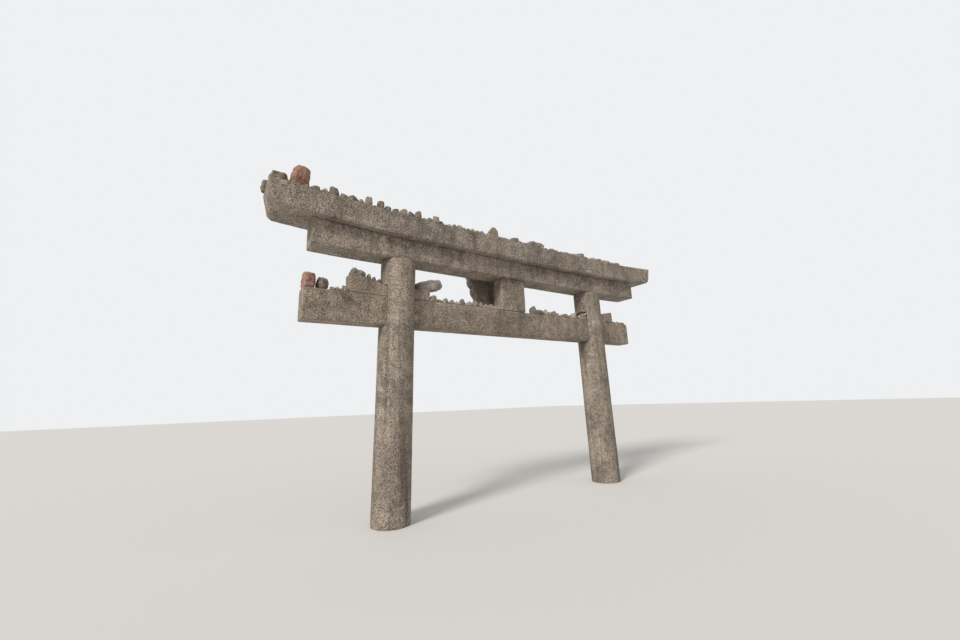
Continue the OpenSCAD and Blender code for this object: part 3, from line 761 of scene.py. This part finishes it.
def dress(piece, material, slot, *nodes):
    """Gives a finished piece its material and its body, and hides the CAD nodes that it stands for."""
    piece.data.materials.clear()
    piece.data.materials.append(material)
    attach(piece, "root")
    if nodes:
        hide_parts(*nodes)


# Geometry nodes

def gravel_tree():
    """Gravel scattered over a strip: size, density and seed are the tree's inputs."""
    tree = bpy.data.node_groups.new("Gravel on a strip", "GeometryNodeTree")
    for label, kind, value in (
        ("Geometry", "NodeSocketGeometry", None),
        ("Density", "NodeSocketFloat", 200.0),
        ("Smallest", "NodeSocketFloat", 0.008),
        ("Largest", "NodeSocketFloat", 0.02),
        ("Seed", "NodeSocketInt", 1),
        ("Material", "NodeSocketMaterial", None),
    ):
        socket = tree.interface.new_socket(label, in_out="INPUT", socket_type=kind)
        if value is not None:
            socket.default_value = value
    tree.interface.new_socket("Geometry", in_out="OUTPUT", socket_type="NodeSocketGeometry")
    w = Wiring(tree)
    start = w.add("NodeGroupInput")
    end = w.add("NodeGroupOutput")
    spread = w.add("GeometryNodeDistributePointsOnFaces", distribute_method="RANDOM")
    w.feed(spread, Mesh=start.outputs["Geometry"], Density=start.outputs["Density"],
           Seed=start.outputs["Seed"])
    bit = w.add("GeometryNodeMeshIcoSphere")
    w.feed(bit, Radius=0.5, Subdivisions=2)
    seated = w.add("GeometryNodeTransform")
    w.feed(seated, Geometry=bit.outputs["Mesh"], Translation=(0.0, 0.0, 0.36))
    size = w.add("FunctionNodeRandomValue", data_type="FLOAT")
    w.join(start.outputs["Smallest"], size.inputs[2])
    w.join(start.outputs["Largest"], size.inputs[3])
    w.join(start.outputs["Seed"], size.inputs["Seed"])
    squash = w.add("FunctionNodeRandomValue", data_type="FLOAT_VECTOR")
    squash.inputs[0].default_value = (0.75, 0.55, 0.5)
    squash.inputs[1].default_value = (1.25, 0.95, 1.0)
    stretch = w.add("ShaderNodeVectorMath", operation="SCALE")
    w.join(squash.outputs[0], stretch.inputs[0])
    w.join(size.outputs[1], stretch.inputs["Scale"])
    turn = w.add("FunctionNodeRandomValue", data_type="FLOAT_VECTOR")
    turn.inputs[1].default_value = (0.25, 0.25, 6.28)
    lay = w.add("GeometryNodeInstanceOnPoints")
    w.feed(lay, Points=spread.outputs["Points"], Instance=seated.outputs[0],
           Rotation=turn.outputs[0], Scale=stretch.outputs[0])
    shade = w.add("FunctionNodeRandomValue", data_type="FLOAT")
    w.join(start.outputs["Seed"], shade.inputs["Seed"])
    toned = w.add("GeometryNodeStoreNamedAttribute", data_type="FLOAT", domain="INSTANCE")
    w.feed(toned, Geometry=lay.outputs[0], Name="tone", Value=shade.outputs[1])
    solid = w.add("GeometryNodeRealizeInstances")
    w.join(toned.outputs[0], solid.inputs[0])
    jitter = w.add("ShaderNodeTexNoise")
    w.feed(jitter, Scale=70.0, Detail=2.0)
    middle = w.add("ShaderNodeVectorMath", operation="SUBTRACT")
    w.join(jitter.outputs["Color"], middle.inputs[0])
    middle.inputs[1].default_value = (0.5, 0.5, 0.5)
    small = w.add("ShaderNodeVectorMath", operation="SCALE")
    w.join(middle.outputs[0], small.inputs[0])
    small.inputs["Scale"].default_value = 0.006
    rough = w.add("GeometryNodeSetPosition")
    w.feed(rough, Geometry=solid.outputs[0], Offset=small.outputs[0])
    painted = w.add("GeometryNodeSetMaterial")
    w.feed(painted, Geometry=rough.outputs[0], Material=start.outputs["Material"])
    w.join(painted.outputs[0], end.inputs[0])
    return tree


def gravel(name, strip, seed, density=1.0, size=1.0):
    """Runs the gravel tree over a strip and keeps the plain mesh."""
    settings = bpy.context.scene.torii_gravel
    tree = bpy.data.node_groups.get("Gravel on a strip") or gravel_tree()
    made = object_from(strip, name + "_strip")
    scatter = made.modifiers.new("Gravel", "NODES")
    scatter.node_group = tree
    ids = {item.name: item.identifier for item in tree.interface.items_tree
           if item.in_out == "INPUT"}
    scatter[ids["Density"]] = settings.density * density
    scatter[ids["Smallest"]] = settings.smallest * size
    scatter[ids["Largest"]] = settings.largest * size
    scatter[ids["Seed"]] = seed
    scatter[ids["Material"]] = pebble_stone()
    done = baked(made, name)
    give_value(done.data, "wear", np.full(len(done.data.vertices), 0.3))
    smooth(done.data)
    done.data.set_sharp_from_angle(angle=GRAVEL_CREASE)
    return done


def top_strip(x0, x1, y0, y1, steps):
    """A strip over the top lintel's upper surface, at the height of its node's own points."""
    shape = merged("top_lintel")
    heights = {}
    for face in shape.faces:
        if face.normal.z > 0.9:
            heights.update({round(v.co.x, 4): v.co.z for v in face.verts})
    shape.free()
    xs = sorted(heights)
    zs = [heights[x] for x in xs]
    strip = bmesh.new()
    rows = []
    for i in range(steps + 1):
        x = x0 + (x1 - x0) * i / steps
        z = float(np.interp(x, xs, zs)) + 0.001
        rows.append((strip.verts.new((x, y0, z)), strip.verts.new((x, y1, z))))
    for a, b in zip(rows, rows[1:]):
        strip.faces.new((a[0], b[0], b[1], a[1]))
    return strip


def flat_strip(x0, x1, y0, y1, z, strip=None):
    """A level rectangle, in a bmesh of its own or added to the one given."""
    strip = strip or bmesh.new()
    corners = [strip.verts.new(p) for p in ((x0, y0, z), (x1, y0, z), (x1, y1, z), (x0, y1, z))]
    strip.faces.new(corners)
    return strip


def pillar_side(node, height):
    """The X of a pillar's left side at a height, from the points of its CAD node."""
    shape = merged(node)
    levels = sorted({round(v.co.z, 3) for v in shape.verts})
    ring = {z: min(v.co.x for v in shape.verts if abs(v.co.z - z) < 0.001) for z in levels}
    shape.free()
    low, high = levels[0], levels[-1]
    share = (height - low) / (high - low)
    return ring[low] + (ring[high] - ring[low]) * share


# Operators

class TORII_OT_pillars(bpy.types.Operator):
    """Two leaning round pillars, each one stone, with their mortises"""

    bl_idname = "torii.pillars"
    bl_label = "Pillars"

    def execute(self, context):
        s = context.scene.torii_stone
        for number, node in enumerate(("left_pillar", "right_pillar")):
            piece = weathered(node, s.pillar_grid, s.edge_wear * 0.7, s.hollow_depth, rounds=2,
                              seed=s.seed + 10 * number)
            dress(piece, pillar_granite(), "granite_pillar", node)
        return {"FINISHED"}


class TORII_OT_tie_beam(bpy.types.Operator):
    """Tie beam through both pillars, and the strut that stands on it"""

    bl_idname = "torii.tie_beam"
    bl_label = "Tie beam and strut"

    def execute(self, context):
        s = context.scene.torii_stone
        beam = weathered("tie_beam", s.beam_grid, s.edge_wear, s.hollow_depth, rounds=2,
                         seed=s.seed + 30)
        dress(beam, beam_granite(), "granite_beam", "tie_beam")
        strut = weathered("strut", s.small_grid, s.edge_wear * 0.6, s.hollow_depth, rounds=3,
                          seed=s.seed + 40)
        dress(strut, beam_granite(), "granite_beam", "strut")
        return {"FINISHED"}


class TORII_OT_wedges(bpy.types.Operator):
    """Split wedges that lock the tie beam in the pillars"""

    bl_idname = "torii.wedges"
    bl_label = "Wedges"

    def execute(self, context):
        s = context.scene.torii_stone
        names = ("outer_left_wedge", "inner_left_wedge", "outer_right_wedge")
        for number, node in enumerate(names):
            piece = weathered(node, s.small_grid, s.edge_wear, s.hollow_depth * 1.5, rounds=3,
                              seed=s.seed + 50 + number)
            dress(piece, wedge_granite(), "granite_wedge", node)
        return {"FINISHED"}


class TORII_OT_lintels(bpy.types.Operator):
    """Lower lintel and the curved top lintel with its slanting ends"""

    bl_idname = "torii.lintels"
    bl_label = "Lintels"

    def execute(self, context):
        s = context.scene.torii_stone
        slots = {"lower_lintel": "granite_lintel", "top_lintel": "granite_top"}
        for number, (node, slot) in enumerate(slots.items()):
            piece = weathered(node, s.beam_grid, s.edge_wear, s.hollow_depth, rounds=1,
                              seed=s.seed + 60 + 10 * number)
            dress(piece, lintel_granite(), slot, node)
        return {"FINISHED"}


class TORII_OT_tablet(bpy.types.Operator):
    """Bare tablet with its scalloped border, leaning outward behind the strut"""

    bl_idname = "torii.tablet"
    bl_label = "Tablet"

    def execute(self, context):
        s = context.scene.torii_stone
        for number, node in enumerate(("tablet_panel", "tablet_border")):
            piece = weathered(node, s.small_grid, s.edge_wear * 0.5, s.hollow_depth * 0.6,
                              rounds=2, seed=s.seed + 80 + number)
            if node == "tablet_panel":
                run_into_frame(piece, s.tablet_seat)
            dress(piece, tablet_granite(), "granite_tablet", node)
        return {"FINISHED"}


class TORII_OT_large_stones(bpy.types.Operator):
    """Large loose stones laid on the top lintel and on the tie beam"""

    bl_idname = "torii.large_stones"
    bl_label = "Large stones"

    def execute(self, context):
        s = context.scene.torii_stone
        finishes = {
            "end_block": (brown_rock, "rock_brown"), "red_boulder": (red_rock, "rock_red"),
            "pointed_rock": (brown_rock, "rock_brown"), "long_flat_rock": (grey_rock, "rock_grey"),
            "right_flat_rocks": (grey_rock, "rock_grey"), "top_cobbles": (brown_rock, "rock_brown"),
            "tie_end_rock": (red_rock, "rock_red"), "tie_block": (brown_rock, "rock_brown"),
            "wedge_slab": (grey_rock, "rock_grey"), "leaning_slab": (grey_rock, "rock_grey"),
        }
        # Share of the usual roughness and depth of the broken corners, where a stone has its own
        usual = (1.3, 0.06)
        ragged = {"leaning_slab": (2.6, 0.05), "wedge_slab": (2.4, 0.05), "tie_end_rock": (1.8, 0.1),
                  "tie_block": (1.8, 0.1), "top_cobbles": (1.6, 0.12)}
        leans = {"pointed_rock": 0.4, "long_flat_rock": 0.22}
        for number, (node, (material, slot)) in enumerate(finishes.items()):
            share, deepest = ragged.get(node, usual)
            piece = natural_stones(node, 3, s.rock_rough * share, deepest, s.seed + 7 * number,
                                   lean=leans.get(node, 0.0))
            dress(piece, material(), slot, node)
        return {"FINISHED"}


class TORII_OT_pebbles(bpy.types.Operator):
    """Rows of pebbles on the top lintel, the wedge and the tie beam"""

    bl_idname = "torii.pebbles"
    bl_label = "Pebbles"

    def execute(self, context):
        s = context.scene.torii_stone
        names = (
            "top_pebbles_far_left", "top_pebbles_left", "top_pebbles_middle", "top_pebbles_right",
            "left_wedge_stones", "stub_pebbles_left", "stub_pebbles_right", "tie_pebbles_left",
            "tablet_rubble", "tie_pebbles_right",
        )
        for number, node in enumerate(names):
            piece = natural_stones(node, 2, s.rock_rough, deepest=0.24, seed=s.seed + 13 * number,
                                   slant=0.16)
            dress(piece, pebble_stone(), "pebbles", node)
        return {"FINISHED"}


class TORII_OT_gravel(bpy.types.Operator):
    """Gravel between the stones of the rows, too small for the model's own nodes"""

    bl_idname = "torii.gravel"
    bl_label = "Gravel"

    def execute(self, context):
        seed = context.scene.torii_stone.seed
        self.lay_top_gravel(seed)
        self.lay_beam_gravel(seed)
        self.heap_mortise_gravel(seed)
        return {"FINISHED"}

    def lay(self, name, strip, seed, density=1.0, size=1.0):
        dress(gravel(name, strip, seed, density, size), pebble_stone(), "pebbles")

    def lay_top_gravel(self, seed):
        """Gravel along the top lintel, and coarser bits in its right half."""
        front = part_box("top_lintel")[0].y
        near, far = TOP_STRIP
        row_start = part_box("end_block")[0].x + TOP_START
        row_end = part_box("top_pebbles_right")[1].x
        strip = top_strip(row_start, row_end, front + near, front + far, steps=60)
        self.lay("top_gravel", strip, seed)
        near, far = TOP_COARSE_STRIP
        row_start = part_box("long_flat_rock")[1].x + TOP_COARSE_START
        row_end -= TOP_COARSE_START
        strip = top_strip(row_start, row_end, front + near, front + far, steps=40)
        self.lay("top_gravel_right", strip, seed + 6, density=0.42, size=1.35)

    def lay_beam_gravel(self, seed):
        """Gravel on the tie beam, from the start of one row of stones to the end of another."""
        low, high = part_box("tie_beam")
        near, far = BEAM_STRIP
        rows = (
            ("tie_gravel", "tie_pebbles_left", "tablet_rubble", 0.8, 1.0),
            ("tie_gravel_right", "tie_pebbles_right", "tie_pebbles_right", 0.7, 1.15),
            ("stub_gravel_left", "stub_pebbles_left", "stub_pebbles_left", 0.9, 1.0),
            ("stub_gravel_right", "stub_pebbles_right", "stub_pebbles_right", 0.5, 1.0),
        )
        for number, (name, first, last, density, size) in enumerate(rows):
            strip = flat_strip(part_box(first)[0].x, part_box(last)[1].x, low.y + near, low.y + far,
                               high.z)
            self.lay(name, strip, seed + 1 + number, density, size)

    def heap_mortise_gravel(self, seed):
        """Layers of gravel that fill the mouth of the right pillar's mortise."""
        low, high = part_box("tie_beam")
        mouth = pillar_side("right_pillar", high.z)
        heap = bmesh.new()
        for layer in range(HEAP_LAYERS):
            flat_strip(mouth - HEAP_OUT + HEAP_STEP * layer, mouth + HEAP_IN, low.y + HEAP_FRONT,
                       high.y - HEAP_BACK, high.z + HEAP_RISE * layer, heap)
        self.lay("mortise_gravel", heap, seed + 5)


class TORII_OT_stage(bpy.types.Operator):
    """Plain floor and backdrop, soft light and the camera"""

    bl_idname = "torii.stage"
    bl_label = "Stage"

    def execute(self, context):
        s = context.scene.torii_stage
        self.lay_floor(s)
        self.light_sky(context.scene, s)
        self.light_key(context.scene, s)
        self.place_camera(context.scene, s)
        context.scene.view_settings.view_transform = "Standard"
        return {"FINISHED"}

    def lay_floor(self, s):
        half = FLOOR_HALF
        floor = object_from(flat_strip(-half, half, -half, half, -FLOOR_DROP), "floor")
        material, w = new_material("Plain floor")
        shader = w.tree.nodes["Principled BSDF"]
        shader.inputs["Base Color"].default_value = rgba(s.floor_colour)
        shader.inputs["Roughness"].default_value = 0.95
        shader.inputs["Specular IOR Level"].default_value = 0.1
        floor.data.materials.append(material)

    def light_sky(self, scene, s):
        """Even light from all sides, with a plain backdrop where the sky itself is seen."""
        world = bpy.data.worlds.new("Plain sky")
        scene.world = world
        world.use_nodes = True
        world.node_tree.nodes.clear()
        w = Wiring(world.node_tree)
        path = w.add("ShaderNodeLightPath")
        seen = w.math("MAXIMUM", path.outputs["Is Camera Ray"], path.outputs["Is Glossy Ray"])
        seen = w.math("MAXIMUM", seen, path.outputs["Is Transmission Ray"])
        light = w.add("ShaderNodeBackground")
        w.feed(light, Color=(1.0, 0.99, 0.97, 1.0), Strength=s.sky_light)
        shown = w.add("ShaderNodeBackground")
        w.feed(shown, Color=rgba(s.backdrop_colour), Strength=1.0)
        either = w.add("ShaderNodeMixShader")
        w.join(seen, either.inputs[0])
        w.join(light.outputs[0], either.inputs[1])
        w.join(shown.outputs[0], either.inputs[2])
        w.join(either.outputs[0], w.add("ShaderNodeOutputWorld").inputs[0])

    def light_key(self, scene, s):
        key = bpy.data.objects.new("key", bpy.data.lights.new("key", "SUN"))
        key.data.energy = s.key_light
        key.data.angle = KEY_SPREAD
        key.data.color = (1.0, 0.97, 0.93)
        place = Vector(KEY_PLACE)
        turn = (place - Vector((GATE_X, 0.0, KEY_TARGET_Z))).to_track_quat("Z", "Y")
        key.matrix_world = Matrix.Translation(place) @ turn.to_matrix().to_4x4()
        scene.collection.objects.link(key)

    def place_camera(self, scene, s):
        """Camera of the photograph, from its place, its two angles and its roll."""
        camera = bpy.data.objects.new("camera", bpy.data.cameras.new("camera"))
        camera.data.sensor_width = 36.0
        camera.data.lens = s.lens
        camera.data.clip_end = 400.0
        yaw, pitch, roll = s.camera_yaw, s.camera_pitch, s.camera_roll
        ahead = Vector((math.sin(yaw) * math.cos(pitch), math.cos(yaw) * math.cos(pitch),
                        math.sin(pitch)))
        across = Vector((math.cos(yaw), -math.sin(yaw), 0.0))
        above = across.cross(ahead)
        right = across * math.cos(roll) + above * math.sin(roll)
        up = above * math.cos(roll) - across * math.sin(roll)
        axes = Matrix((right, up, -ahead)).transposed().to_4x4()
        camera.matrix_world = Matrix.Translation(Vector(s.camera_place)) @ axes
        scene.collection.objects.link(camera)
        scene.camera = camera


STEPS = (
    TORII_OT_stage, TORII_OT_pillars, TORII_OT_tie_beam, TORII_OT_wedges, TORII_OT_lintels,
    TORII_OT_tablet, TORII_OT_large_stones, TORII_OT_pebbles, TORII_OT_gravel,
)


class TORII_PT_panel(bpy.types.Panel):
    """Lists the gate's settings and its steps"""

    bl_idname = "TORII_PT_panel"
    bl_label = "Torii gate"
    bl_space_type = "VIEW_3D"
    bl_region_type = "UI"
    bl_category = "Torii"

    def draw(self, context):
        for name, kind in SETTINGS:
            box = self.layout.box()
            for prop in kind.__annotations__:
                box.prop(getattr(context.scene, name), prop)
        for step in STEPS:
            self.layout.operator(step.bl_idname)


CLASSES = tuple(kind for _, kind in SETTINGS) + STEPS + (TORII_PT_panel,)


def register():
    for kind in CLASSES:
        bpy.utils.register_class(kind)
    for name, kind in SETTINGS:
        setattr(bpy.types.Scene, name, PointerProperty(type=kind))


def unregister():
    for name, _ in SETTINGS:
        delattr(bpy.types.Scene, name)
    for kind in reversed(CLASSES):
        bpy.utils.unregister_class(kind)


def main():
    """Runs each step once."""
    register()
    for step in STEPS:
        family, action = step.bl_idname.split(".")
        getattr(getattr(bpy.ops, family), action)()


if __name__ == "__main__":
    main()
